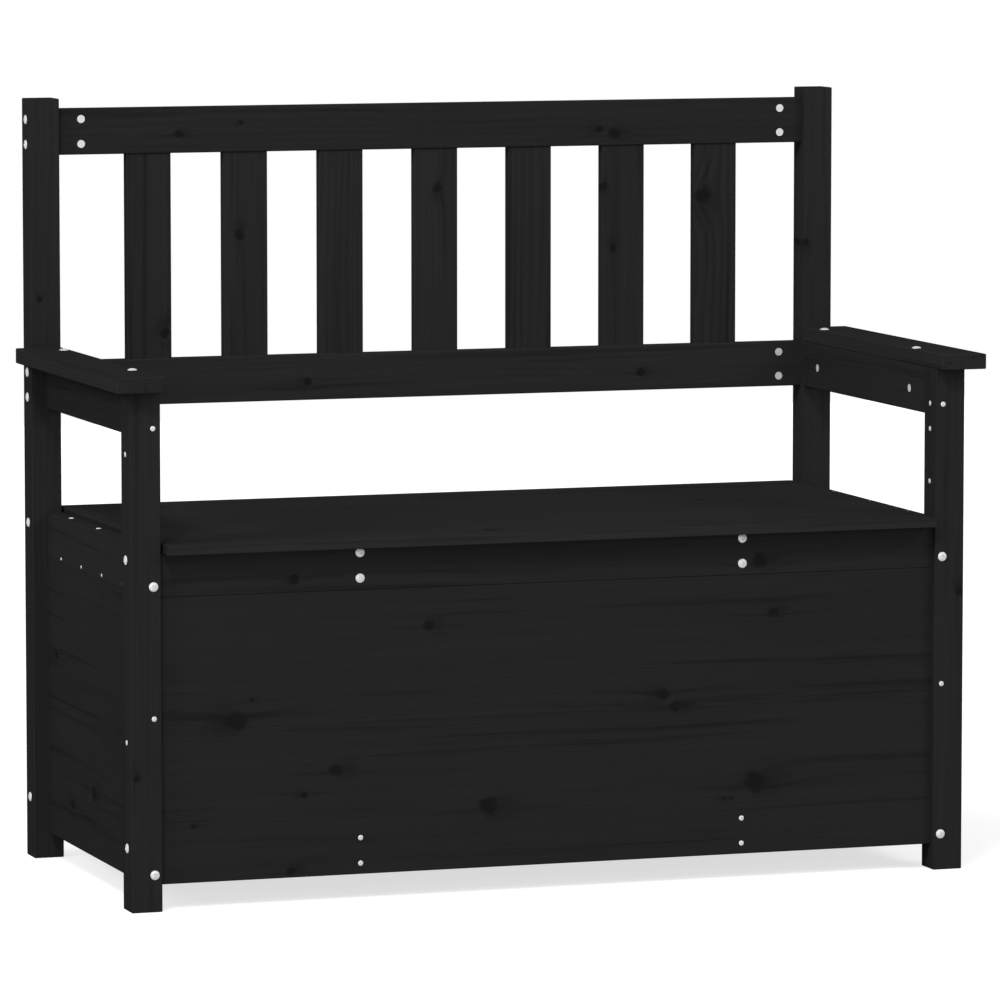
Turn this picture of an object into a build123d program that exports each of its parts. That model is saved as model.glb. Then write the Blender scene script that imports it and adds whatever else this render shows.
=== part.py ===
import os

from build123d import *

os.makedirs("parts", exist_ok=True)

# Storage bench with a slatted back, armrests and a lift-up seat, in millimetres.
# The origin is on the floor at the middle of the footprint. Seen from the front, +X runs
# to the right, +Y runs to the rear and +Z is up.

# Overall frame
overall_height = 965.0
frame_width = 1084.0
frame_depth = 493.5
foot_clearance = 32.0

# Timber sections
post_size = 38.5
board_thickness = 19.0
rail_height = 58.5
thin_board = 12.0
slat_thickness = 14.0
edge_ease = 1.0

# Armrests
arm_top = 651.5
arm_overhang = 20.5
arm_bolt_spacing = 316.0

# Back
back_drop = 13.0
slat_count = 7
slat_end_gap = 90.8
slat_tenon = 15.0
mortise_clearance = 0.15

# Seat and box
seat_top = 447.0
front_rail_height = 53.0
side_rise = 7.0
lid_overhang = 16.0
lid_side_gap = 3.5
lid_rear_gap = 5.0
rear_strip_inset = 6.5
bearer_offset = 249.0
cleat_setback = 51.0
batten_inset = 125.0
batten_front_gap = 32.0
batten_rear_gap = 28.0
floor_count = 7
floor_gap = 3.8
floor_end_gap = 1.5

# Bolts with barrel nuts
bolt_radius = 3.0
bolt_head_radius = 5.8
bolt_head_height = 2.4
bolt_head_rim = 0.7
bolt_past_nut = 6.0
bolt_clearance = 0.3
bolt_pair_spacing = 31.5
upper_bolt_drop = 7.0
lower_bolt_rise = 13.5
nut_radius = 5.0
nut_length = 15.0
nut_setback = 31.0
nut_clearance = 0.15
thread_clearance = 0.05

# Wood screws with pan heads
screw_radius = 2.0
screw_head_radius = 3.2
screw_head_height = 1.2
screw_bite = 24.0
screw_clearance = 0.2
side_screw_spacing = 128.0
side_screw_length = 80.0
pin_radius = 1.25
pin_head_radius = 2.0
pin_head_height = 0.8
pin_spacing = 95.0
pin_count = 4
pin_rise = 6.0
pin_bite = 13.0
arm_screw_rise = 14.0
panel_screw_side = 236.0
panel_screw_front = 206.0
tie_screw_height = 556.0
tie_screw_length = 16.0
set_screw_heights = (490.0, 588.0)
set_screw_length = 6.0
floor_screw_bite = 20.0
batten_screw_bite = 7.0
batten_screw_count = 3
batten_screw_end = 40.0

# Dowels under the fixed rear strip
dowel_radius = 4.0
dowel_depth = 8.0
dowel_clearance = 0.1
dowel_offsets = (120.0, 400.0)

# Butt hinges, let in so that leaves and knuckles are flush with the seat
hinge_offset = 400.0
hinge_length = 60.0
leaf_width = 22.0
leaf_thickness = 1.5
knuckle_radius = 2.5
knuckle_gap = 0.3
knuckle_share = 0.25
hinge_pin_radius = 1.2
hinge_running_clearance = 0.05
leaf_pocket_clearance = 0.2
hinge_screw_radius = 1.5
hinge_screw_head_radius = 3.0
hinge_screw_length = 9.0
hinge_screw_count = 3
hinge_screw_pitch = 19.0
hinge_screw_clearance = 0.1

# Faces and levels that follow from the sizes above
overall_depth = arm_overhang + frame_depth + bolt_head_height
side_face = frame_width / 2
inner_face = side_face - post_size
front_face = -overall_depth / 2 + arm_overhang
rear_face = front_face + frame_depth
front_post_rear = front_face + post_size
rear_post_front = rear_face - post_size
front_post_y = front_face + post_size / 2
rear_post_y = rear_face - post_size / 2

arm_under = arm_top - board_thickness
arm_rail_low = arm_under - rail_height
side_board_x = inner_face + board_thickness / 2
front_board_low = front_post_y - board_thickness / 2
front_board_high = front_post_y + board_thickness / 2
rear_board_low = rear_post_y - board_thickness / 2
rear_board_high = rear_post_y + board_thickness / 2

top_rail_high = overall_height - back_drop
top_rail_low = top_rail_high - rail_height
lower_rail_low = arm_rail_low
lower_rail_high = lower_rail_low + rail_height

lid_under = seat_top - thin_board
front_rail_low = lid_under - front_rail_height
side_rail_high = lid_under + side_rise
side_rail_low = side_rail_high - rail_height
floor_bearer_high = foot_clearance + rail_height
floor_top = floor_bearer_high + thin_board

strip_rear = rear_face - rear_strip_inset
strip_front = strip_rear - rail_height
lid_rear = strip_front - lid_rear_gap
lid_front = front_face - lid_overhang
lid_half_width = inner_face - lid_side_gap
batten_offset = lid_half_width - batten_inset
hinge_y = (strip_front + lid_rear) / 2
hinge_z = seat_top - knuckle_radius

upper_bolt_z = lid_under - upper_bolt_drop
middle_bolt_z = upper_bolt_z - bolt_pair_spacing
lower_bolt_z = foot_clearance + lower_bolt_rise
raised_bolt_z = lower_bolt_z + bolt_pair_spacing
post_bolt_length = post_size + nut_setback + bolt_past_nut
board_bolt_length = board_thickness + nut_setback + bolt_past_nut
post_screw_length = post_size + screw_bite
board_screw_length = board_thickness + screw_bite


def place(point, toward, across=None):
    return Plane(origin=point, x_dir=across, z_dir=toward).location


def save(built, name):
    built.part.label = name
    export_step(built.part, f"parts/{name}.step")


# A board between two corners; grain is the axis it runs along. Its long edges are eased,
# and so are the ends of a board whose ends are free
def board(low, high, grain, free_ends=False):
    size = [b - a for a, b in zip(low, high)]
    middle = tuple((a + b) / 2 for a, b in zip(low, high))
    with Locations(middle):
        solid = Box(*size)
    eased = solid.edges() if free_ends else solid.edges().filter_by(grain)
    chamfer(eased, edge_ease)


def drill(places, radius, depth):
    with Locations(*places):
        Cylinder(radius, depth, align=(Align.CENTER, Align.CENTER, Align.MIN), mode=Mode.SUBTRACT)


def drill_bolts(places, length):
    drill(places, bolt_radius + bolt_clearance, length + bolt_clearance)


def drill_nuts(places):
    drill(places, nut_radius + nut_clearance, nut_length)


def drill_screws(places, length):
    drill(places, screw_radius + screw_clearance, length + screw_clearance)


# Where the fasteners go: each place is the seat of a head, with Z along the shank
back_bolts, back_nuts = [], []
for side in (-1, 1):
    for rail_low in (top_rail_low, lower_rail_low):
        for step in (-0.5, 0.5):
            z = rail_low + rail_height / 2 + step * bolt_pair_spacing
            back_bolts.append(place((side * side_face, rear_post_y, z), (-side, 0, 0)))
            nut_x = side * (inner_face - nut_setback)
            back_nuts.append(place((nut_x, rear_board_low, z), (0, 1, 0), (1, 0, 0)))

front_bolts, front_nuts = [], []
rear_bolts, rear_nuts = [], []
for side in (-1, 1):
    for z in (upper_bolt_z, raised_bolt_z):
        nut_x = side * (inner_face - nut_setback)
        front_bolts.append(place((side * side_face, front_post_y, z), (-side, 0, 0)))
        front_nuts.append(place((nut_x, front_board_high, z), (0, -1, 0), (1, 0, 0)))
        rear_bolts.append(place((side * side_face, rear_post_y, z), (-side, 0, 0)))
        rear_nuts.append(place((nut_x, rear_board_low, z), (0, 1, 0), (1, 0, 0)))

side_bolts, side_nuts = [], []
for side in (-1, 1):
    for z in (middle_bolt_z, lower_bolt_z):
        side_bolts.append(place((side * side_board_x, front_face, z), (0, 1, 0)))
        side_bolts.append(place((side * side_board_x, rear_face, z), (0, -1, 0)))
        for nut_y in (front_post_rear + nut_setback, rear_post_front - nut_setback):
            side_nuts.append(place((side * inner_face, nut_y, z), (side, 0, 0), (0, 1, 0)))

bearer_bolts, bearer_nuts = [], []
floor_screws, bearer_screws = [], []
for side in (-1, 1):
    x = side * bearer_offset
    for z in (upper_bolt_z, middle_bolt_z):
        bearer_bolts.append(place((x, front_board_low, z), (0, 1, 0)))
        bearer_bolts.append(place((x, rear_board_high, z), (0, -1, 0)))
        for nut_y in (front_board_high + nut_setback, rear_board_low - nut_setback):
            nut_seat = (x - side * board_thickness / 2, nut_y, z)
            bearer_nuts.append(place(nut_seat, (side, 0, 0), (0, 1, 0)))
    for z in (raised_bolt_z, lower_bolt_z):
        bearer_screws.append(place((x, front_board_low, z), (0, 1, 0)))
        bearer_screws.append(place((x, rear_board_high, z), (0, -1, 0)))

arm_middle = (front_post_rear + rear_post_front) / 2
arm_bolts, arm_nuts = [], []
for side in (-1, 1):
    for step in (-0.5, 0.5):
        y = arm_middle + step * arm_bolt_spacing
        arm_bolts.append(place((side * side_board_x, y, arm_top), (0, 0, -1)))
        nut_z = arm_under - nut_setback
        arm_nuts.append(place((side * inner_face, y, nut_z), (side, 0, 0), (0, 0, 1)))

post_screws, tie_screws, set_screws, side_screws, cleat_pins = [], [], [], [], []
for side in (-1, 1):
    for z in (arm_rail_low + arm_screw_rise, panel_screw_side):
        post_screws.append(place((side * side_board_x, front_face, z), (0, 1, 0)))
    for z in (arm_rail_low + rail_height / 2, panel_screw_side):
        post_screws.append(place((side * side_board_x, rear_face, z), (0, -1, 0)))
    post_screws.append(place((side * side_face, front_post_y, panel_screw_front), (-side, 0, 0)))
    tie_screws.append(place((side * side_face, front_post_y, tie_screw_height), (-side, 0, 0)))
    for z in set_screw_heights:
        set_screws.append(place((side * inner_face, front_post_y, z), (side, 0, 0)))
    for step in (-1, 0, 1):
        y = arm_middle + step * side_screw_spacing
        side_screws.append(place((side * side_board_x, y, side_rail_high), (0, 0, -1)))
    for index in range(pin_count):
        y = arm_middle + (index - (pin_count - 1) / 2) * pin_spacing
        pin_x = side * (inner_face + board_thickness)
        cleat_pins.append(place((pin_x, y, side_rail_low + pin_rise), (-side, 0, 0)))
pin_length = board_thickness + pin_bite

floor_pitch = (rear_board_low - front_board_high) / floor_count
floor_board_width = floor_pitch - floor_gap
floor_rows = [front_board_high + (index + 0.5) * floor_pitch for index in range(floor_count)]
for y in floor_rows:
    for side in (-1, 1):
        floor_screws.append(place((side * bearer_offset, y, floor_top), (0, 0, -1)))
floor_screw_length = thin_board + floor_screw_bite

batten_low_y = front_board_high + batten_front_gap
batten_high_y = lid_rear - batten_rear_gap
batten_step = (batten_high_y - batten_low_y - 2 * batten_screw_end) / (batten_screw_count - 1)
batten_screws = []
for x in (-batten_offset, 0, batten_offset):
    for index in range(batten_screw_count):
        y = batten_low_y + batten_screw_end + index * batten_step
        batten_screws.append(place((x, y, lid_under - board_thickness), (0, 0, 1)))
batten_screw_length = board_thickness + batten_screw_bite

dowels = []
for x in dowel_offsets:
    for side in (-1, 1):
        dowels.append(place((side * x, rear_post_y, lid_under - dowel_depth), (0, 0, 1)))

hinge_rows = (-hinge_offset, 0, hinge_offset)
leaf_middle = (knuckle_radius + leaf_width) / 2
fixed_leaf_holes, lid_leaf_holes = [], []
for x in hinge_rows:
    for index in range(hinge_screw_count):
        screw_x = x + (index - (hinge_screw_count - 1) / 2) * hinge_screw_pitch
        fixed_leaf_holes.append((screw_x, hinge_y + leaf_middle, seat_top))
        lid_leaf_holes.append((screw_x, hinge_y - leaf_middle, seat_top))
fixed_hinge_screws = [place(hole, (0, 0, -1)) for hole in fixed_leaf_holes]
lid_hinge_screws = [place(hole, (0, 0, -1)) for hole in lid_leaf_holes]

# Posts
for side, hand in ((-1, "left"), (1, "right")):
    inner_x, outer_x = sorted((side * inner_face, side * side_face))
    with BuildPart() as post_front:
        board((inner_x, front_face, 0), (outer_x, front_post_rear, arm_under), Axis.Z, free_ends=True)
        drill_bolts(front_bolts + side_bolts, post_bolt_length)
        drill_screws(post_screws, post_screw_length)
        drill_screws(tie_screws, post_size)
        drill_screws(set_screws, set_screw_length)
    save(post_front, f"post_front_{hand}")

    with BuildPart() as post_rear:
        board((inner_x, rear_post_front, 0), (outer_x, rear_face, overall_height), Axis.Z, free_ends=True)
        drill_bolts(back_bolts + rear_bolts + side_bolts, post_bolt_length)
        drill_screws(post_screws, post_screw_length)
    save(post_rear, f"post_rear_{hand}")

# Back rails with a mortise for each slat
slat_span = 2 * inner_face - 2 * slat_end_gap - rail_height
slat_pitch = slat_span / (slat_count - 1)
mortise_width = rail_height + 2 * mortise_clearance
mortise_thickness = slat_thickness + 2 * mortise_clearance
mortise_depth = slat_tenon + mortise_clearance
for name, rail_low, mouth, sink in (
    ("back_top_rail", top_rail_low, top_rail_low, Align.MIN),
    ("back_lower_rail", lower_rail_low, lower_rail_high, Align.MAX),
):
    rail_high = rail_low + rail_height
    with BuildPart() as back_rail:
        board((-inner_face, rear_board_low, rail_low), (inner_face, rear_board_high, rail_high), Axis.X)
        with Locations((0, rear_post_y, mouth)):
            with GridLocations(slat_pitch, 1, slat_count, 1):
                Box(
                    mortise_width,
                    mortise_thickness,
                    mortise_depth,
                    align=(Align.CENTER, Align.CENTER, sink),
                    mode=Mode.SUBTRACT,
                )
        drill_bolts(back_bolts, post_bolt_length)
        drill_nuts(back_nuts)
    save(back_rail, name)

# Slats, their ends let into the rails as full-section tenons
slat_low = lower_rail_high - slat_tenon
slat_high = top_rail_low + slat_tenon
for index in range(slat_count):
    slat_x = (index - (slat_count - 1) / 2) * slat_pitch
    with BuildPart() as back_slat:
        board(
            (slat_x - rail_height / 2, rear_post_y - slat_thickness / 2, slat_low),
            (slat_x + rail_height / 2, rear_post_y + slat_thickness / 2, slat_high),
            Axis.Z,
        )
    save(back_slat, f"back_slat_{index + 1}")

# Armrests and the rails under them
for side, hand in ((-1, "left"), (1, "right")):
    arm_x = sorted((side * inner_face, side * (side_face + arm_overhang)))
    rail_x = sorted((side * inner_face, side * (inner_face + board_thickness)))
    with BuildPart() as armrest:
        board(
            (arm_x[0], front_face - arm_overhang, arm_under),
            (arm_x[1], rear_post_front, arm_top),
            Axis.Y,
            free_ends=True,
        )
        drill_bolts(arm_bolts, arm_top)
    save(armrest, f"armrest_{hand}")

    with BuildPart() as arm_rail:
        board((rail_x[0], front_post_rear, arm_rail_low), (rail_x[1], rear_post_front, arm_under), Axis.Y)
        drill_bolts(arm_bolts, board_bolt_length)
        drill_nuts(arm_nuts)
        drill_screws(post_screws, post_screw_length)
    save(arm_rail, f"arm_rail_{hand}")

# Box front and rear: a top rail over a wide panel, centred in the posts
for name, low_y, high_y, end_bolts, end_nuts in (
    ("front", front_board_low, front_board_high, front_bolts, front_nuts),
    ("rear", rear_board_low, rear_board_high, rear_bolts, rear_nuts),
):
    with BuildPart() as box_rail:
        board((-inner_face, low_y, front_rail_low), (inner_face, high_y, lid_under), Axis.X)
        drill_bolts(end_bolts, post_bolt_length)
        drill_bolts(bearer_bolts, board_bolt_length)
        drill_nuts(end_nuts)
        drill(dowels, dowel_radius + dowel_clearance, dowel_depth * 2)
    save(box_rail, f"{name}_rail")

    with BuildPart() as box_panel:
        board((-inner_face, low_y, foot_clearance), (inner_face, high_y, front_rail_low), Axis.X)
        drill_bolts(end_bolts, post_bolt_length)
        drill_nuts(end_nuts)
        drill_screws(bearer_screws, board_screw_length)
        drill_screws(post_screws, post_screw_length)
    save(box_panel, f"{name}_panel")

# Box sides, flush with the posts' inner faces, and the cleats that carry the lid's ends
for side, hand in ((-1, "left"), (1, "right")):
    side_x = sorted((side * inner_face, side * (inner_face + board_thickness)))
    cleat_x = sorted((side * inner_face, side * (inner_face - board_thickness)))
    with BuildPart() as side_rail:
        board(
            (side_x[0], front_post_rear, side_rail_low),
            (side_x[1], rear_post_front, side_rail_high),
            Axis.Y,
        )
        drill_bolts(side_bolts, post_bolt_length)
        drill_nuts(side_nuts)
        drill_screws(side_screws, side_screw_length)
        drill(cleat_pins, pin_radius + screw_clearance, pin_length + screw_clearance)
    save(side_rail, f"side_rail_{hand}")

    with BuildPart() as side_panel:
        board(
            (side_x[0], front_post_rear, foot_clearance),
            (side_x[1], rear_post_front, side_rail_low),
            Axis.Y,
        )
        drill_bolts(side_bolts, post_bolt_length)
        drill_nuts(side_nuts)
        drill_screws(side_screws, side_screw_length)
        drill_screws(post_screws, post_screw_length)
    save(side_panel, f"side_panel_{hand}")

    with BuildPart() as lid_cleat:
        board(
            (cleat_x[0], front_post_rear + cleat_setback, lid_under - rail_height),
            (cleat_x[1], rear_post_front - cleat_setback, lid_under),
            Axis.Y,
        )
        drill(cleat_pins, pin_radius + screw_clearance, pin_length + screw_clearance)
    save(lid_cleat, f"lid_cleat_{hand}")

# Bearers from front to rear under the lid and under the floor
for side, hand in ((-1, "left"), (1, "right")):
    low_x = side * bearer_offset - board_thickness / 2
    high_x = side * bearer_offset + board_thickness / 2
    with BuildPart() as seat_bearer:
        board((low_x, front_board_high, front_rail_low), (high_x, rear_board_low, lid_under), Axis.Y)
        drill_bolts(bearer_bolts, board_bolt_length)
        drill_nuts(bearer_nuts)
    save(seat_bearer, f"seat_bearer_{hand}")

    with BuildPart() as floor_bearer:
        board((low_x, front_board_high, foot_clearance), (high_x, rear_board_low, floor_bearer_high), Axis.Y)
        drill_screws(bearer_screws, board_screw_length)
        drill_screws(floor_screws, floor_screw_length)
    save(floor_bearer, f"floor_bearer_{hand}")

# Floor boards, laid with even gaps
floor_half_length = inner_face - floor_end_gap
for index, floor_y in enumerate(floor_rows):
    with BuildPart() as floor_board:
        board(
            (-floor_half_length, floor_y - floor_board_width / 2, floor_bearer_high),
            (floor_half_length, floor_y + floor_board_width / 2, floor_top),
            Axis.X,
        )
        drill_screws(floor_screws, floor_screw_length)
    save(floor_board, f"floor_board_{index + 1}")


# Fixed rear strip and lid, each with a shallow pocket for its hinge leaves and a deeper one
# along the edge for the knuckles
def cut_leaf_pockets(toward_rear):
    pocket_length = hinge_length + 2 * leaf_pocket_clearance
    knuckle_room = knuckle_radius + knuckle_gap
    edge = Align.MIN if toward_rear else Align.MAX
    for width, depth in (
        (leaf_width + leaf_pocket_clearance, leaf_thickness),
        (knuckle_room, knuckle_radius + knuckle_room),
    ):
        with Locations(*[(x, hinge_y, seat_top) for x in hinge_rows]):
            Box(
                pocket_length,
                width,
                depth,
                align=(Align.CENTER, edge, Align.MAX),
                mode=Mode.SUBTRACT,
            )


with BuildPart() as rear_strip:
    board(
        (-lid_half_width, strip_front, lid_under),
        (lid_half_width, strip_rear, seat_top),
        Axis.X,
        free_ends=True,
    )
    cut_leaf_pockets(toward_rear=True)
    drill(dowels, dowel_radius + dowel_clearance, dowel_depth * 2)
    drill(fixed_hinge_screws, hinge_screw_radius + hinge_screw_clearance, hinge_screw_length)
save(rear_strip, "rear_seat_strip")

with BuildPart() as seat_lid:
    board(
        (-lid_half_width, lid_front, lid_under),
        (lid_half_width, lid_rear, seat_top),
        Axis.X,
        free_ends=True,
    )
    cut_leaf_pockets(toward_rear=False)
    drill(lid_hinge_screws, hinge_screw_radius + hinge_screw_clearance, hinge_screw_length)
    drill_screws(batten_screws, batten_screw_length)
save(seat_lid, "seat_lid")

for name, x in (("left", -batten_offset), ("middle", 0), ("right", batten_offset)):
    with BuildPart() as lid_batten:
        board(
            (x - rail_height / 2, batten_low_y, lid_under - board_thickness),
            (x + rail_height / 2, batten_high_y, lid_under),
            Axis.Y,
        )
        drill_screws(batten_screws, batten_screw_length)
    save(lid_batten, f"lid_batten_{name}")

# Hinge leaves: flat plates that roll into knuckles round a common pin
end_knuckle = hinge_length * knuckle_share
middle_knuckle = hinge_length - 2 * end_knuckle - 2 * knuckle_gap
leaf_reach = knuckle_radius + knuckle_gap
leaf_hole_radius = hinge_screw_radius + hinge_screw_clearance
leaf_sink_radius = hinge_screw_head_radius + hinge_screw_clearance / 2


# One knuckle with the tongue that joins it to its plate; out is 1 to the rear, -1 to the front
def knuckle(middle_x, length, out):
    with BuildSketch(Plane.YZ.offset(middle_x - length / 2)) as section:
        with Locations((hinge_y, hinge_z)):
            Circle(knuckle_radius)
        with Locations((hinge_y + out * leaf_reach / 2, seat_top - leaf_thickness / 2)):
            Rectangle(leaf_reach, leaf_thickness)
        with Locations((hinge_y, hinge_z)):
            Circle(hinge_pin_radius + hinge_running_clearance, mode=Mode.SUBTRACT)
    return extrude(section.sketch, amount=length, mode=Mode.PRIVATE)


def leaf_plate(x, out):
    plate_y = hinge_y + out * (leaf_reach + leaf_width) / 2
    with Locations((x, plate_y, seat_top - leaf_thickness / 2)):
        Box(hinge_length, leaf_width - leaf_reach, leaf_thickness)


with BuildPart() as fixed_leaves:
    for x in hinge_rows:
        leaf_plate(x, 1)
        for side in (-1, 1):
            add(knuckle(x + side * (hinge_length - end_knuckle) / 2, end_knuckle, 1))
    with Locations(*fixed_leaf_holes):
        CounterSinkHole(leaf_hole_radius, leaf_sink_radius, leaf_thickness, counter_sink_angle=90)
save(fixed_leaves, "hinge_leaves_fixed")

with BuildPart() as lid_leaves:
    for x in hinge_rows:
        leaf_plate(x, -1)
        add(knuckle(x, middle_knuckle, -1))
    with Locations(*lid_leaf_holes):
        CounterSinkHole(leaf_hole_radius, leaf_sink_radius, leaf_thickness, counter_sink_angle=90)
save(lid_leaves, "hinge_leaves_lid")

with BuildPart() as hinge_pins:
    with Locations(*[place((x - hinge_length / 2, hinge_y, hinge_z), (1, 0, 0)) for x in hinge_rows]):
        Cylinder(hinge_pin_radius, hinge_length, align=(Align.CENTER, Align.CENTER, Align.MIN))
save(hinge_pins, "hinge_pins")


# Fasteners: one of each kind is turned from its profile, seat at the origin and shank
# along +Z, and is then set at all its places
def domed(head_radius, head_height, rim, shank_radius, shank_length):
    with BuildPart() as fastener:
        with BuildSketch(Plane.XZ):
            with BuildLine():
                Polyline(
                    (0, -head_height),
                    (0, shank_length),
                    (shank_radius, shank_length),
                    (shank_radius, 0),
                    (head_radius, 0),
                    (head_radius, -rim),
                )
                TangentArc((0, -head_height), (head_radius, -rim), tangent=(1, 0))
            make_face()
        revolve(axis=Axis.Z)
    return fastener.part


def save_group(shape_places, name):
    with BuildPart() as group:
        for shape, places in shape_places:
            with Locations(*places):
                add(shape)
    save(group, name)


post_bolt = domed(bolt_head_radius, bolt_head_height, bolt_head_rim, bolt_radius, post_bolt_length)
board_bolt = domed(bolt_head_radius, bolt_head_height, bolt_head_rim, bolt_radius, board_bolt_length)
save_group([(post_bolt, back_bolts + front_bolts + rear_bolts + side_bolts)], "frame_bolts")
save_group([(board_bolt, bearer_bolts)], "bearer_bolts")
save_group([(board_bolt, arm_bolts)], "armrest_bolts")

with BuildPart() as barrel_nut:
    Cylinder(nut_radius, nut_length, align=(Align.CENTER, Align.CENTER, Align.MIN))
    with Locations((0, 0, board_thickness / 2)):
        Cylinder(
            bolt_radius + thread_clearance, nut_radius * 2, rotation=(0, 90, 0), mode=Mode.SUBTRACT
        )
hidden_nuts = front_nuts + rear_nuts + side_nuts + bearer_nuts
save_group([(barrel_nut.part, back_nuts + arm_nuts + hidden_nuts)], "barrel_nuts")


def pan_screw(length):
    return domed(screw_head_radius, screw_head_height, screw_head_height / 3, screw_radius, length)


tie_ends = [place((side * inner_face, front_post_y, tie_screw_height), (side, 0, 0)) for side in (-1, 1)]
cleat_pin = domed(pin_head_radius, pin_head_height, pin_head_height / 3, pin_radius, pin_length)
post_screw = pan_screw(post_screw_length)
board_screw = pan_screw(board_screw_length)
save_group([(post_screw, post_screws), (board_screw, bearer_screws)], "frame_screws")
save_group([(pan_screw(set_screw_length), set_screws)], "post_set_screws")
save_group([(pan_screw(tie_screw_length), tie_screws + tie_ends)], "post_tie_screws")
save_group([(pan_screw(side_screw_length), side_screws)], "side_rail_screws")
save_group([(cleat_pin, cleat_pins)], "cleat_screws")
save_group([(pan_screw(floor_screw_length), floor_screws)], "floor_screws")
save_group([(pan_screw(batten_screw_length), batten_screws)], "batten_screws")

with BuildPart() as dowel_pins:
    with Locations(*dowels):
        Cylinder(dowel_radius, dowel_depth * 2, align=(Align.CENTER, Align.CENTER, Align.MIN))
save(dowel_pins, "strip_dowels")

with BuildPart() as hinge_screw:
    with BuildSketch(Plane.XZ):
        head_depth = hinge_screw_head_radius - hinge_screw_radius
        with BuildLine():
            Polyline(
                (0, 0),
                (hinge_screw_head_radius, 0),
                (hinge_screw_radius, head_depth),
                (hinge_screw_radius, hinge_screw_length),
                (0, hinge_screw_length),
                close=True,
            )
        make_face()
    revolve(axis=Axis.Z)
save_group([(hinge_screw.part, fixed_hinge_screws)], "hinge_screws_fixed")
save_group([(hinge_screw.part, lid_hinge_screws)], "hinge_screws_lid")
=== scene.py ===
import math
import random

import bmesh
import bpy
from mathutils import Matrix, Vector


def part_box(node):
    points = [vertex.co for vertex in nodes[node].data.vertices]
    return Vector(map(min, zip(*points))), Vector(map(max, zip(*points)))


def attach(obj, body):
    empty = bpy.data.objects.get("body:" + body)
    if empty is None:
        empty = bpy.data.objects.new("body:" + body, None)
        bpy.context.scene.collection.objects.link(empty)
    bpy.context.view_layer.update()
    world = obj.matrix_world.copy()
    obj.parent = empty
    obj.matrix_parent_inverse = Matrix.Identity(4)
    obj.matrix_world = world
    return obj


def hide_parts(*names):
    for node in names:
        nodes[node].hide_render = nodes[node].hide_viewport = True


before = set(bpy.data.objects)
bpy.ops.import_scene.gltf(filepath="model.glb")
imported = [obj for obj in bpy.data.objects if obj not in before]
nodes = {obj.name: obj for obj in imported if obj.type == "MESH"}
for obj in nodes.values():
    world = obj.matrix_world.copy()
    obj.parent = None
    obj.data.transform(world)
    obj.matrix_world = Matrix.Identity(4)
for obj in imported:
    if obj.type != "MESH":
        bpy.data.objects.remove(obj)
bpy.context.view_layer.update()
print("frame loaded:", len(nodes), "nodes")


# node helpers: a number goes on the socket, anything else is linked
def feed(tree, socket, value):
    if isinstance(value, bpy.types.NodeSocket):
        tree.links.new(value, socket)
    else:
        socket.default_value = value


def mathNode(tree, operation, *values, clamp=False):
    node = tree.nodes.new("ShaderNodeMath")
    node.operation = operation
    node.use_clamp = clamp
    for socket, value in zip(node.inputs, values):
        feed(tree, socket, value)
    return node.outputs[0]


def addUp(tree, *values):
    total = values[0]
    for value in values[1:]:
        total = mathNode(tree, "ADD", total, value)
    return total


def centred(tree, value):
    return mathNode(tree, "SUBTRACT", value, 0.5)  # a noise lies about 0.5


def combine(tree, x, y, z):
    node = tree.nodes.new("ShaderNodeCombineXYZ")
    for socket, value in zip(node.inputs, (x, y, z)):
        feed(tree, socket, value)
    return node.outputs[0]


seedSteps = (7.31, 3.17, 5.71)  # how far one seed moves a pattern on each axis


def stretched(tree, along, across, thick, scales, seed):
    offsets = [mathNode(tree, "MULTIPLY", seed, step) for step in seedSteps]
    parts = []
    for value, scale, offset in zip((along, across, thick), scales, offsets):
        parts.append(mathNode(tree, "MULTIPLY_ADD", value, scale, offset))
    return combine(tree, *parts)


def noise(tree, vector, detail, roughness=0.5):
    node = tree.nodes.new("ShaderNodeTexNoise")
    node.inputs["Scale"].default_value = 1.0
    node.inputs["Detail"].default_value = detail
    node.inputs["Roughness"].default_value = roughness
    tree.links.new(vector, node.inputs["Vector"])
    return node


def ramp(tree, value, low, high, lowOut=0.0, highOut=1.0, smooth=True):
    node = tree.nodes.new("ShaderNodeMapRange")
    node.interpolation_type = "SMOOTHSTEP" if smooth else "LINEAR"
    for name, number in (("From Min", low), ("From Max", high), ("To Min", lowOut), ("To Max", highOut)):
        feed(tree, node.inputs[name], number)
    feed(tree, node.inputs["Value"], value)
    return node.outputs["Result"]


def mixColor(tree, factor, first, second):
    node = tree.nodes.new("ShaderNodeMix")
    node.data_type = "RGBA"
    feed(tree, node.inputs["Factor"], factor)
    feed(tree, node.inputs["A"], first)
    feed(tree, node.inputs["B"], second)
    return node.outputs["Result"]


def objectCoords(tree, settings):
    coords = tree.nodes.new("ShaderNodeTexCoord")
    mapping = tree.nodes.new("ShaderNodeMapping")
    for name, value in settings.items():
        mapping.inputs[name].default_value = value
    tree.links.new(coords.outputs["Object"], mapping.inputs["Vector"])
    return mapping.outputs["Vector"]


def newMaterial(name):
    material = bpy.data.materials.new(name)
    material.use_nodes = True
    return material, material.node_tree, material.node_tree.nodes["Principled BSDF"]


def addBump(tree, shader, height, strength, distance):
    bump = tree.nodes.new("ShaderNodeBump")
    bump.inputs["Strength"].default_value = strength
    bump.inputs["Distance"].default_value = distance
    tree.links.new(height, bump.inputs["Height"])
    tree.links.new(bump.outputs["Normal"], shader.inputs["Normal"])


def addObject(name, data):
    made = bpy.data.objects.new(name, data)
    bpy.context.scene.collection.objects.link(made)
    return made


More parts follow.
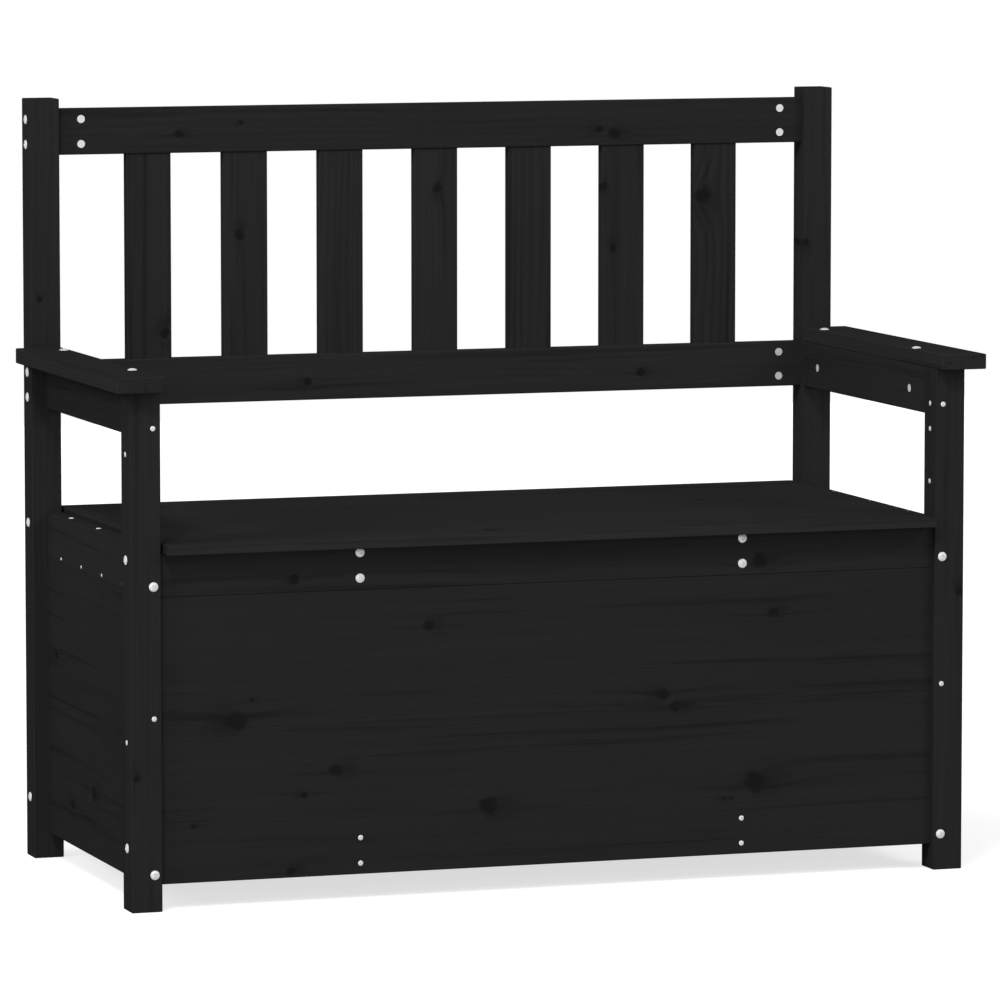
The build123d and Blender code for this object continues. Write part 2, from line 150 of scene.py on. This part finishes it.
def newGroup(name, inputs, outputs):
    group = bpy.data.node_groups.new(name, "ShaderNodeTree")
    for socketName in inputs:
        group.interface.new_socket(socketName, in_out="INPUT", socket_type="NodeSocketFloat")
    for socketName in outputs:
        group.interface.new_socket(socketName, in_out="OUTPUT", socket_type="NodeSocketFloat")
    groupIn = group.nodes.new("NodeGroupInput")
    groupOut = group.nodes.new("NodeGroupOutput")
    return group, groupIn.outputs, groupOut.inputs


def useGroup(tree, group, **values):
    node = tree.nodes.new("ShaderNodeGroup")
    node.node_tree = group
    for name, value in values.items():
        feed(tree, node.inputs[name], value)
    return node.outputs


# growth rings, fibres and stain patches of a pine board, in metres from the board's middle
grainLook = {
    "slowScale": (1.3, 2.4, 2.4),
    "slowWarp": 0.03,
    "waveScale": (7.0, 26.0, 26.0),
    "waveWarp": 0.0022,
    "ringJitter": 1.1,
    "ringEvenness": 0.31,
    "ringRise": (0.25, 0.9),
    "ringFall": (0.93, 1.0),
    "fibreScale": (2.6, 120.0, 120.0),
    "threadScale": (22.0, 900.0, 900.0),
    "poreScale": (70.0, 3000.0, 3000.0),
    "streakScale": (1.5, 60.0, 60.0),
    "streakRamp": (0.56, 0.70),
    "swayScale": (2.4, 5.0, 5.0),
    "sway": 0.012,
    "patchScale": (1.8, 11.0, 11.0),
    "detail": {"slow": 2.0, "wave": 2.0, "years": 1.0, "sway": 1.0,
               "fibre": 4.0, "thread": 2.0, "pore": 2.0, "streak": 2.0, "patch": 3.0},
    "coarseness": 0.6,
}


def buildGrainGroup(look):
    names = ("along", "across", "thick", "bend", "pithAcross", "pithThick", "spacing", "seed")
    results = ("rings", "fibre", "thread", "pore", "streak", "patch")
    group, given, result = newGroup("pineGrain", names, results)
    detail = look["detail"]

    def pattern(name, across, roughness=0.5):
        scales = look[name + "Scale"]
        spread = stretched(group, given["along"], across, given["thick"], scales, given["seed"])
        return noise(group, spread, detail[name], roughness).outputs

    drift = group.nodes.new("ShaderNodeSeparateColor")
    group.links.new(pattern("slow", given["across"])["Color"], drift.inputs[0])
    wave = pattern("wave", given["across"])[0]
    sides = []
    for side, push in zip(("across", "thick"), drift.outputs):
        pushed = mathNode(group, "MULTIPLY_ADD", centred(group, push), look["slowWarp"], given[side])
        sides.append(mathNode(group, "SUBTRACT", pushed, given["pith" + side.capitalize()]))
    squares = [mathNode(group, "MULTIPLY", side, side) for side in sides]
    radius = mathNode(group, "SQRT", addUp(group, *squares))
    ripple = mathNode(group, "MULTIPLY", centred(group, wave), look["waveWarp"])
    radius = addUp(group, radius, given["bend"], ripple)
    phase = mathNode(group, "DIVIDE", radius, given["spacing"])
    years = mathNode(group, "MULTIPLY", phase, look["ringEvenness"])
    uneven = noise(group, combine(group, years, given["seed"], 0.0), detail["years"]).outputs[0]
    phase = mathNode(group, "MULTIPLY_ADD", uneven, look["ringJitter"], phase)
    year = mathNode(group, "FRACT", phase)
    rise = ramp(group, year, *look["ringRise"])
    fall = ramp(group, year, *look["ringFall"], 1.0, 0.0)
    group.links.new(mathNode(group, "MULTIPLY", rise, fall), result["rings"])
    sway = centred(group, pattern("sway", given["across"])[0])
    sway = mathNode(group, "MULTIPLY_ADD", sway, look["sway"], given["across"])
    across = mathNode(group, "ADD", sway, given["bend"])
    for name in results[1:]:
        value = pattern(name, across, look["coarseness"])[0]
        if name == "streak":
            value = ramp(group, value, *look["streakRamp"])
        group.links.new(value, result[name])
    return group


# one knot: its ragged core, the shaded wood on one side of it, its streak and its push on the rings
knotLook = {"stretch": 1.1, "edge": 1.5, "core": (1.3, 0.55), "halo": 1.5, "haloShift": 1.4,
            "streak": (7.0, 0.3), "streakShift": 0.45, "pushReach": (3.2, 2.0), "push": 0.7}


def buildKnotGroup(look):
    names = ("along", "across", "knotAlong", "knotAcross", "radius", "rough", "lean")
    group, given, result = newGroup("pineKnot", names, ("core", "shade", "bend"))

    # squared distance, and a bell that falls off with it
    def bell(along, across):
        squares = [mathNode(group, "MULTIPLY", value, value) for value in (along, across)]
        total = addUp(group, *squares)
        return total, mathNode(group, "EXPONENT", mathNode(group, "MULTIPLY", total, -1.0))

    run = mathNode(group, "SUBTRACT", given["along"], given["knotAlong"])
    run = mathNode(group, "DIVIDE", run, mathNode(group, "MULTIPLY", given["radius"], look["stretch"]))
    side = mathNode(group, "SUBTRACT", given["across"], given["knotAcross"])
    side = mathNode(group, "DIVIDE", side, given["radius"])
    distance = mathNode(group, "SQRT", bell(run, side)[0])
    distance = mathNode(group, "MULTIPLY_ADD", centred(group, given["rough"]), look["edge"], distance)
    group.links.new(ramp(group, distance, *look["core"]), result["core"])
    shifted = mathNode(group, "MULTIPLY_ADD", given["lean"], -look["haloShift"], run)
    haloParts = [mathNode(group, "DIVIDE", value, look["halo"]) for value in (shifted, side)]
    halo = bell(*haloParts)[1]
    offset = mathNode(group, "MULTIPLY_ADD", given["lean"], look["streakShift"], side)
    length, width = look["streak"]
    streak = bell(mathNode(group, "DIVIDE", run, length), mathNode(group, "DIVIDE", offset, width))[1]
    group.links.new(mathNode(group, "MAXIMUM", halo, streak), result["shade"])
    length, width = look["pushReach"]
    spread = bell(mathNode(group, "DIVIDE", run, length), mathNode(group, "DIVIDE", side, width))[1]
    push = mathNode(group, "MULTIPLY", given["radius"], look["push"])
    group.links.new(mathNode(group, "MULTIPLY", spread, push), result["bend"])
    return group


grainGroup = buildGrainGroup(grainLook)
knotGroup = buildKnotGroup(knotLook)
print("wood groups built")

# black stain over pine; tones are linear
pineLook = {
    "light": (0.0200, 0.0200, 0.0200, 1.0),
    "dark": (0.0115, 0.0115, 0.0115, 1.0),
    "knot": (0.0083, 0.0083, 0.0083, 1.0),
    "base": 0.22,
    "ringWeight": 0.2,
    "fibreWeight": 0.65,
    "threadWeight": 0.12,
    "poreWeight": 0.5,
    "streakWeight": 0.45,
    "patchWeight": 0.65,
    "shadeWeight": 0.45,
    "roughness": (0.85, 1.0),
    "roughnessRamp": (0.3, 0.7),
    "specular": 0.0,
    "bumpStrength": 0.35,
    "bumpDistance": 0.0005,
    "glueHalfWidth": 0.0007,
    "glueDarkness": 0.55,
    "staveSeed": 17.3,
    "staveShift": 0.13,
    "endDarkening": 0.3,
    "endBand": (0.0004, 0.0001),
    "ringSpacing": 0.0042,
    "ringGain": (0.5, 1.2),
    "seed": (1.0, 60.0),
    "pithOutside": 0.7,
    "pithFar": (0.75, 1.3),
    "pithNear": (0.0, 0.3),
    "pithDepth": (0.05, 0.11),
    "knotEdgeScale": (75.0, 95.0, 95.0),
    "knotEdgeDetail": 3.0,
    "knotEdgeRoughness": 0.55,
    "relief": {"rings": -0.35, "thread": 0.5, "pore": 0.3},
}


# a board's own axes (long side, width, thickness), its middle and its sizes along them
def boardFrame(name):
    low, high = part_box(name)
    size = high - low
    order = sorted(range(3), key=lambda axis: -size[axis])
    rows = [Vector([1.0 if axis == pick else 0.0 for axis in range(3)]) for pick in order]
    if Matrix(rows).determinant() < 0:
        rows[2].negate()
    return Matrix(rows), (low + high) / 2, [size[axis] for axis in order]


# a colour scaled by a board's tone, which carries painted light and shade along with the board's stain
def toned(color, stainAndPaintedLight):
    return tuple(channel * stainAndPaintedLight for channel in color[:3]) + (1.0,)


# where the tree's heart lies, seen from the board's middle
def pithPlace(rng, width):
    look = pineLook
    outside = rng.random() < look["pithOutside"]
    reach = rng.uniform(*look["pithFar"]) if outside else rng.uniform(*look["pithNear"])
    across = rng.choice((-1, 1)) * reach * width
    return across, rng.choice((-1, 1)) * rng.uniform(*look["pithDepth"])


def knotMarks(tree, knots, turn, middle, along, across, rough):
    core, shade, bend = 0.0, 0.0, 0.0
    for count, (knotX, knotY, knotZ, radius, lean) in enumerate(knots):
        spot = turn @ (Vector((knotX, knotY, knotZ)) - middle)
        made = useGroup(tree, knotGroup, along=along, across=across, rough=rough,
                        knotAlong=spot[0], knotAcross=spot[1], radius=radius, lean=lean)
        if count == 0:
            core, shade, bend = made["core"], made["shade"], made["bend"]
        else:
            core = mathNode(tree, "MAXIMUM", core, made["core"])
            shade = mathNode(tree, "MAXIMUM", shade, made["shade"])
            bend = mathNode(tree, "ADD", bend, made["bend"])
    return core, shade, bend


def makePine(name, knots=(), glueLine=None, ringGain=None, pith=None, stainAndPaintedLight=1.0):
    look = pineLook
    rng = random.Random(name)
    turn, middle, size = boardFrame(name)
    material, tree, shader = newMaterial("pine_" + name)
    split = tree.nodes.new("ShaderNodeSeparateXYZ")
    place = objectCoords(tree, {"Rotation": turn.to_euler(), "Location": -(turn @ middle)})
    tree.links.new(place, split.inputs[0])
    along, across, thick = split.outputs
    seed = rng.uniform(*look["seed"])
    if pith is None:
        pith = pithPlace(rng, size[1])
    if ringGain is None:
        ringGain = rng.uniform(*look["ringGain"])
    staveSeed, stavePith = seed, pith[0]
    if glueLine is not None:
        stave = mathNode(tree, "GREATER_THAN", across, glueLine)
        staveSeed = mathNode(tree, "MULTIPLY_ADD", stave, look["staveSeed"], seed)
        stavePith = mathNode(tree, "MULTIPLY_ADD", stave, look["staveShift"], pith[0])

    edge = stretched(tree, along, across, thick, look["knotEdgeScale"], seed)
    rough = noise(tree, edge, look["knotEdgeDetail"], look["knotEdgeRoughness"]).outputs[0]
    core, shade, bend = knotMarks(tree, knots, turn, middle, along, across, rough)
    grain = useGroup(tree, grainGroup, along=along, across=across, thick=thick, bend=bend,
                     spacing=look["ringSpacing"], pithAcross=stavePith, pithThick=pith[1], seed=staveSeed)

    darkness = mathNode(tree, "MULTIPLY_ADD", grain["rings"], look["ringWeight"] * ringGain, look["base"])
    darkness = mathNode(tree, "MULTIPLY_ADD", grain["streak"], look["streakWeight"], darkness)
    for key in ("fibre", "thread", "pore", "patch"):
        swing = centred(tree, grain[key])
        darkness = mathNode(tree, "MULTIPLY_ADD", swing, look[key + "Weight"], darkness)
    endFrom, endTo = [size[0] / 2 - inset for inset in look["endBand"]]
    ends = ramp(tree, mathNode(tree, "ABSOLUTE", along), endFrom, endTo, 0.0, look["endDarkening"])
    darkness = mathNode(tree, "ADD", darkness, ends)
    if knots:
        darkness = mathNode(tree, "MULTIPLY_ADD", shade, look["shadeWeight"], darkness)
    darkness = mathNode(tree, "ADD", darkness, 0.0, clamp=True)

    # painted light and shade: both wood colours are scaled by the board's tone, lighter where the lamps
    # leave a board in shade
    color = mixColor(tree, darkness, toned(look["light"], stainAndPaintedLight), toned(look["dark"], stainAndPaintedLight))
    if knots:
        color = mixColor(tree, core, color, look["knot"])
    if glueLine is not None:
        gap = mathNode(tree, "ABSOLUTE", mathNode(tree, "SUBTRACT", across, glueLine))
        seam = ramp(tree, gap, 0.0, look["glueHalfWidth"], look["glueDarkness"], 0.0)
        color = mixColor(tree, seam, color, look["knot"])
    tree.links.new(color, shader.inputs["Base Color"])
    gloss = ramp(tree, grain["fibre"], *look["roughnessRamp"], *look["roughness"])
    tree.links.new(gloss, shader.inputs["Roughness"])
    shader.inputs["Specular IOR Level"].default_value = look["specular"]
    height = grain["fibre"]
    for key, weight in look["relief"].items():
        height = mathNode(tree, "MULTIPLY_ADD", grain[key], weight, height)
    addBump(tree, shader, height, look["bumpStrength"], look["bumpDistance"])
    return material


def dress(name, material):
    slots = nodes[name].data.materials
    slots.clear()
    slots.append(material)


# knots by board: place in the frame, radius in metres and the side on which the wood is shaded
boardKnots = {
    "back_top_rail": [(-0.345, 0.227, 0.918, 0.0055, 1), (-0.262, 0.227, 0.931, 0.003, -1),
                      (0.243, 0.227, 0.909, 0.0075, 1), (0.222, 0.227, 0.915, 0.005, -1)],
    "back_lower_rail": [(-0.174, 0.227, 0.598, 0.0055, -1), (0.280, 0.227, 0.598, 0.0055, 1)],
    "back_slat_1": [(-0.364, 0.230, 0.665, 0.0065, 1)],
    "back_slat_2": [(-0.263, 0.230, 0.788, 0.0065, 1)],
    "back_slat_4": [(0.001, 0.230, 0.842, 0.0065, -1)],
    "back_slat_6": [(0.229, 0.230, 0.841, 0.005, -1), (0.242, 0.230, 0.760, 0.0045, 1)],
    "back_slat_7": [(0.367, 0.230, 0.827, 0.0105, -1)],
    "post_rear_left": [(-0.530, 0.217, 0.712, 0.0035, 1)],
    "post_rear_right": [(0.507, 0.217, 0.762, 0.005, -1)],
    "post_front_left": [(-0.536, -0.237, 0.164, 0.005, 1)],
    "post_front_right": [(0.536, -0.237, 0.353, 0.0065, 1)],
    "front_rail": [(-0.333, -0.228, 0.397, 0.0055, -1), (0.272, -0.228, 0.399, 0.0085, 1)],
    "front_panel": [(-0.162, -0.228, 0.335, 0.007, 1), (-0.407, -0.228, 0.227, 0.0135, -1),
                    (-0.388, -0.228, 0.253, 0.003, 1), (-0.280, -0.228, 0.162, 0.008, 1),
                    (-0.321, -0.228, 0.133, 0.0045, -1), (-0.083, -0.228, 0.108, 0.0115, 1),
                    (0.144, -0.228, 0.237, 0.0075, -1), (0.160, -0.228, 0.221, 0.007, 1),
                    (0.290, -0.228, 0.334, 0.0065, 1), (0.267, -0.228, 0.122, 0.0135, 1),
                    (0.235, -0.228, 0.103, 0.003, -1), (0.225, -0.228, 0.103, 0.003, -1),
                    (-0.338, -0.228, 0.040, 0.006, 1), (-0.462, -0.228, 0.101, 0.003, 1)],
    "side_panel_left": [(-0.522, 0.177, 0.265, 0.006, 1), (-0.522, 0.002, 0.112, 0.009, -1),
                        (-0.522, 0.101, 0.086, 0.007, 1)],
    "side_panel_right": [(0.522, 0.120, 0.300, 0.007, 1), (0.522, -0.080, 0.150, 0.009, -1)],
    "rear_panel": [(-0.300, 0.240, 0.290, 0.008, 1), (0.120, 0.240, 0.190, 0.010, -1),
                   (0.380, 0.240, 0.090, 0.006, 1)],
    "seat_lid": [(-0.076, -0.205, 0.447, 0.006, 1), (0.300, 0.050, 0.447, 0.006, -1)],
}
# per board: how strongly the rings show, its tone (partly stain, partly painted light and shade), its pith
# place and the height of its glue line
boardRings = {"back_slat_1": 1.6, "back_slat_2": 0.5, "back_slat_3": 1.5, "back_slat_4": 0.5,
              "back_slat_5": 1.5, "back_slat_6": 0.5, "back_slat_7": 2.0, "front_panel": 0.7,
              "seat_lid": 0.6}
# painted light and shade: a tone above 1 lightens a board the lamps leave too dark, below 1 darkens a
# board they light too much, with some stain difference mixed in
boardStainAndPaintedLight = {"front_panel": 0.88, "front_rail": 0.92, "side_panel_left": 0.9, "side_panel_right": 0.9,
             "post_front_left": 0.92, "post_front_right": 0.93, "post_rear_left": 0.95,
             "back_top_rail": 0.92, "back_lower_rail": 1.09, "arm_rail_right": 1.03, "arm_rail_left": 0.92,
             "armrest_left": 1.06, "armrest_right": 1.13, "seat_lid": 1.09, "rear_seat_strip": 1.09}
widePith = {"front_panel": (0.32, 0.16), "rear_panel": (-0.34, 0.15), "seat_lid": (0.38, 0.14)}
gluedBoards = {"front_panel": 0.220, "rear_panel": 0.205, "side_panel_left": 0.208,
               "side_panel_right": 0.212}
steelNodes = ("frame_bolts", "bearer_bolts", "armrest_bolts", "barrel_nuts", "frame_screws",
              "post_set_screws", "post_tie_screws", "side_rail_screws", "cleat_screws", "floor_screws",
              "batten_screws")
hingeNodes = ("hinge_leaves_fixed", "hinge_leaves_lid", "hinge_pins", "hinge_screws_fixed",
              "hinge_screws_lid")
pineNodes = [name for name in sorted(nodes) if name not in steelNodes + hingeNodes + ("strip_dowels",)]

for name in pineNodes:
    glueLine = None
    if name in gluedBoards:
        turn, middle, size = boardFrame(name)
        joint = Vector((middle.x, middle.y, gluedBoards[name]))
        glueLine = (turn @ (joint - middle))[1]
    dress(name, makePine(name, boardKnots.get(name, ()), glueLine, boardRings.get(name),
                         widePith.get(name), boardStainAndPaintedLight.get(name, 1.0)))
print("boards stained:", len(pineNodes))

# zinc-plated steel, black-coated hinge steel and bare beech, each with its own cloudy variation
metalLook = {
    "zincSteel": {
        "light": (0.60, 0.60, 0.605, 1.0), "dark": (0.51, 0.51, 0.52, 1.0), "metallic": 0.5,
        "roughness": (0.52, 0.66), "specular": 0.5, "scale": (2200.0, 2200.0, 2200.0), "bump": 0.00002,
    },
    "blackSteel": {
        "light": (0.0180, 0.0180, 0.0182, 1.0), "dark": (0.0150, 0.0150, 0.0152, 1.0), "metallic": 0.0,
        "roughness": (0.5, 0.7), "specular": 0.0, "scale": (1500.0, 1500.0, 1500.0), "bump": 0.00003,
    },
    "dowelBeech": {
        "light": (0.58, 0.43, 0.28, 1.0), "dark": (0.46, 0.32, 0.19, 1.0), "metallic": 0.0,
        "roughness": (0.55, 0.75), "specular": 0.3, "scale": (700.0, 700.0, 60.0), "bump": 0.0001,
    },
}
cloudLook = {"detail": 3.0, "ramp": (0.3, 0.7), "bumpStrength": 0.3}


def makeCloudy(name, look):
    material, tree, shader = newMaterial(name)
    shader.inputs["Metallic"].default_value = look["metallic"]
    shader.inputs["Specular IOR Level"].default_value = look["specular"]
    cloud = noise(tree, objectCoords(tree, {"Scale": look["scale"]}), cloudLook["detail"]).outputs[0]
    color = mixColor(tree, ramp(tree, cloud, *cloudLook["ramp"]), look["light"], look["dark"])
    tree.links.new(color, shader.inputs["Base Color"])
    rough = ramp(tree, cloud, *cloudLook["ramp"], *look["roughness"])
    tree.links.new(rough, shader.inputs["Roughness"])
    addBump(tree, shader, cloud, cloudLook["bumpStrength"], look["bump"])
    return material


metals = {name: makeCloudy(name, look) for name, look in metalLook.items()}
for name in steelNodes:
    dress(name, metals["zincSteel"])
for name in hingeNodes:
    dress(name, metals["blackSteel"])
dress("strip_dowels", metals["dowelBeech"])
print("metal and dowels dressed")

# bolts and screws with their drive recesses; steps is the count of faces round a head
fastenerLook = {
    "steps": 48,
    "tipShare": 0.7,
    "ease": 0.25,
    "domeRings": (0.8, 0.6),
    "collar": 1.3,
    "draft": 0.88,
    "arm": math.radians(15.0),
    "armTolerance": 1e-4,
    "sharpAngle": math.radians(35.0),
    "weld": 1e-6,
    "rimShare": 0.98,
    "tipTolerance": 1e-5,
}
recesses = {
    "hex": {"flats": 6, "reach": 0.0020, "depth": 0.0013},
    "cross": {"arms": 4, "reach": 0.0017, "depth": 0.0006},
    "smallCross": {"arms": 4, "reach": 0.0010, "depth": 0.0004},
}
recessOf = {"frame_bolts": "hex", "bearer_bolts": "hex", "armrest_bolts": "hex", "frame_screws": "cross",
            "post_set_screws": "cross", "post_tie_screws": "cross", "side_rail_screws": "cross",
            "floor_screws": "cross", "batten_screws": "cross", "cleat_screws": "smallCross"}


# distance from the middle to a recess wall: flats, or arms that narrow to nothing between them
def recessRadius(recess, angle):
    reach = recess["reach"]
    if "flats" in recess:
        sector = math.tau / recess["flats"]
        return reach / math.cos(angle % sector - sector / 2)
    sector = math.tau / recess["arms"]
    turn = abs((angle + sector / 2) % sector - sector / 2)
    arm = fastenerLook["arm"]
    if turn <= arm + fastenerLook["armTolerance"]:
        return reach / math.cos(turn)
    return reach * math.tan(arm) / math.sin(turn)


# the separate solids of a node, as lists of points
def solidPoints(name):
    shape = bmesh.new()
    shape.from_mesh(nodes[name].data)
    bmesh.ops.remove_doubles(shape, verts=shape.verts, dist=fastenerLook["weld"])
    waiting = set(shape.verts)
    solids = []
    while waiting:
        reached = [waiting.pop()]
        for vert in reached:
            for edge in vert.link_edges:
                other = edge.other_vert(vert)
                if other in waiting:
                    waiting.remove(other)
                    reached.append(other)
        solids.append([vert.co.copy() for vert in reached])
    shape.free()
    return solids


# each solid of a fastener node: where its head sits, which way it points and its own sizes
def fastenerSizes(name):
    found = []
    for points in solidPoints(name):
        low = Vector([min(point[axis] for point in points) for axis in range(3)])
        high = Vector([max(point[axis] for point in points) for axis in range(3)])
        size = high - low
        # a round shape has two equal sides, and its axis is the third
        axis = max(range(3), key=lambda pick: abs(2 * size[pick] - size[pick - 1] - size[pick - 2]))
        middle = (low + high) / 2
        spokes = []
        for point in points:
            offset = point - middle
            offset[axis] = 0.0
            spokes.append((offset.length, point[axis]))
        headRadius = max(spoke[0] for spoke in spokes)
        rim = [level for radius, level in spokes if radius > fastenerLook["rimShare"] * headRadius]
        out = 1.0 if sum(rim) / len(rim) > middle[axis] else -1.0
        top, tip = (high[axis], low[axis]) if out > 0 else (low[axis], high[axis])
        seat = min(rim) if out > 0 else max(rim)
        atTip = [radius for radius, level in spokes if abs(level - tip) < fastenerLook["tipTolerance"]]
        middle[axis] = seat
        toward = Vector((0.0, 0.0, 0.0))
        toward[axis] = out
        found.append({"seat": middle, "toward": toward, "headRadius": headRadius,
                      "headHeight": abs(top - seat), "rim": max(rim) - min(rim),
                      "shankRadius": max(atTip), "shankLength": abs(seat - tip)})
    return sorted(found, key=lambda one: tuple(round(value, 5) for value in one["seat"]))


def addFastener(target, sizes, recess, turn):
    look = fastenerLook
    wide, tall, rim = sizes["headRadius"], sizes["headHeight"], sizes["rim"]
    shank, deep = sizes["shankRadius"], sizes["shankLength"]
    ease = look["ease"] * rim

    def dome(radius):
        return rim + (tall - rim) * (1.0 - (radius / wide) ** 2)

    collar = recess["reach"] * look["collar"]
    tip = shank * look["tipShare"]
    profile = [(tip, -deep), (shank, -deep + shank - tip), (shank, 0.0), (wide, 0.0), (wide, rim - ease)]
    radii = [wide - ease] + [wide * share for share in look["domeRings"]] + [collar]
    profile += [(radius, dome(radius)) for radius in radii]
    one = bmesh.new()
    line = [one.verts.new((radius, 0.0, level)) for radius, level in profile]
    edges = [one.edges.new(pair) for pair in zip(line, line[1:])]
    bmesh.ops.spin(one, geom=line + edges, cent=(0, 0, 0), axis=(0, 0, 1), angle=math.tau,
                   steps=look["steps"], use_merge=True)
    tipLoop = [edge for edge in one.edges if edge.is_boundary and edge.verts[0].co.z < 0]
    headLoop = [edge for edge in one.edges if edge.is_boundary and edge.verts[0].co.z > 0]
    bmesh.ops.edgeloop_fill(one, edges=tipLoop)
    # the recess: its rim on the dome, then the edge of its floor
    for share, level in ((1.0, None), (look["draft"], tall - recess["depth"])):
        made = bmesh.ops.extrude_edge_only(one, edges=headLoop)["geom"]
        headLoop = [part for part in made if isinstance(part, bmesh.types.BMEdge) and part.is_boundary]
        for vert in {vert for edge in headLoop for vert in edge.verts}:
            angle = math.atan2(vert.co.y, vert.co.x)
            radius = share * recessRadius(recess, angle)
            height = dome(radius) if level is None else level
            vert.co = (radius * math.cos(angle), radius * math.sin(angle), height)
    bmesh.ops.edgeloop_fill(one, edges=headLoop)
    bmesh.ops.recalc_face_normals(one, faces=one.faces)
    facing = Vector((0, 0, 1)).rotation_difference(sizes["toward"]).to_matrix().to_4x4()
    place = Matrix.Translation(sizes["seat"]) @ facing @ Matrix.Rotation(turn, 4, "Z")
    bmesh.ops.transform(one, matrix=place, verts=one.verts)
    single = bpy.data.meshes.new("one")
    one.to_mesh(single)
    one.free()
    target.from_mesh(single)
    bpy.data.meshes.remove(single)


def makeFasteners(name, kind):
    rng = random.Random(name)
    mesh = bpy.data.meshes.new(name + "Driven")
    whole = bmesh.new()
    found = fastenerSizes(name)
    for sizes in found:
        addFastener(whole, sizes, recesses[kind], rng.uniform(0.0, math.tau))
    for face in whole.faces:
        face.smooth = True
    whole.to_mesh(mesh)
    whole.free()
    mesh.set_sharp_from_angle(angle=fastenerLook["sharpAngle"])
    mesh.materials.append(metals["zincSteel"])
    piece = addObject(name + "Driven", mesh)
    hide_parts(name)
    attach(piece, "lid" if name == "batten_screws" else "base")
    return len(found)


fastenerCount = sum(makeFasteners(name, kind) for name, kind in recessOf.items())
print("bolts and screws driven:", fastenerCount)

# floor, world, lamps
stageLook = {"floorHalf": 6.0, "floorColor": (0.5, 0.5, 0.5, 1.0), "sky": 0.416, "floorLift": 0.68}


# 1 for the rays that see the white background, 0 for the rays that light the bench
def seenRays(tree):
    rays = tree.nodes.new("ShaderNodeLightPath")
    kinds = [rays.outputs["Is %s Ray" % kind] for kind in ("Camera", "Glossy", "Transmission")]
    return mathNode(tree, "MINIMUM", addUp(tree, *kinds), 1.0)


floorMesh = bpy.data.meshes.new("floor")
floorShape = bmesh.new()
bmesh.ops.create_grid(floorShape, x_segments=1, y_segments=1, size=stageLook["floorHalf"])
floorShape.to_mesh(floorMesh)
floorShape.free()
floor = addObject("floor", floorMesh)
floorMaterial, floorTree, floorShader = newMaterial("floor")
floorShader.inputs["Base Color"].default_value = stageLook["floorColor"]
floorShader.inputs["Roughness"].default_value = 1.0
floorShader.inputs["Specular IOR Level"].default_value = 0.0
floorShader.inputs["Emission Color"].default_value = (1.0, 1.0, 1.0, 1.0)
lift = mathNode(floorTree, "MULTIPLY", seenRays(floorTree), stageLook["floorLift"])
floorTree.links.new(lift, floorShader.inputs["Emission Strength"])
floorMesh.materials.append(floorMaterial)

world = bpy.data.worlds.new("studio")
bpy.context.scene.world = world
world.use_nodes = True
sky = world.node_tree
background = sky.nodes["Background"]
strength = ramp(sky, seenRays(sky), 0.0, 1.0, stageLook["sky"], 1.0, smooth=False)
sky.links.new(strength, background.inputs["Strength"])
background.inputs["Color"].default_value = (1.0, 1.0, 1.0, 1.0)

# soft boxes on a circle round the bench: bearing from the front (left is negative) and height in degrees
lampRing = {"distance": 10.0, "aim": Vector((0.0, 0.0, 0.45))}
lamps = {
    "key": {"bearing": -35.0, "height": 48.0, "size": 1.7, "power": 388.0},
    "left": {"bearing": -75.0, "height": 25.0, "size": 3.6, "power": 424.0},
    "right": {"bearing": 45.0, "height": 30.0, "size": 3.6, "power": 246.0},
    "front": {"bearing": -19.0, "height": 8.0, "size": 3.6, "power": 246.0},
    "back": {"bearing": 170.0, "height": 8.0, "size": 3.6, "power": 420.0},
}
for name, lamp in lamps.items():
    bearing, height = math.radians(lamp["bearing"]), math.radians(lamp["height"])
    level = math.cos(height)
    toward = Vector((level * math.sin(bearing), -level * math.cos(bearing), math.sin(height)))
    data = bpy.data.lights.new(name, "AREA")
    data.size = lamp["size"]
    data.energy = lamp["power"]
    light = addObject(name, data)
    light.visible_camera = False
    light.location = lampRing["aim"] + toward * lampRing["distance"]
    light.rotation_euler = (-toward).to_track_quat("-Z", "Y").to_euler()

# camera at the photograph's viewing angle
shot = {"place": (-2.7496, -8.0891, 1.3450), "lens": 245.34, "tiltDown": 5.904, "turnRight": 18.830,
        "sensor": 36.0, "clipEnd": 200.0}
cameraData = bpy.data.cameras.new("camera")
cameraData.lens = shot["lens"]
cameraData.sensor_width = shot["sensor"]
cameraData.clip_end = shot["clipEnd"]
camera = addObject("camera", cameraData)
camera.location = shot["place"]
camera.rotation_euler = (math.radians(90.0 - shot["tiltDown"]), 0.0, math.radians(-shot["turnRight"]))
bpy.context.scene.camera = camera
bpy.context.scene.view_settings.view_transform = "Standard"
print("stage set")
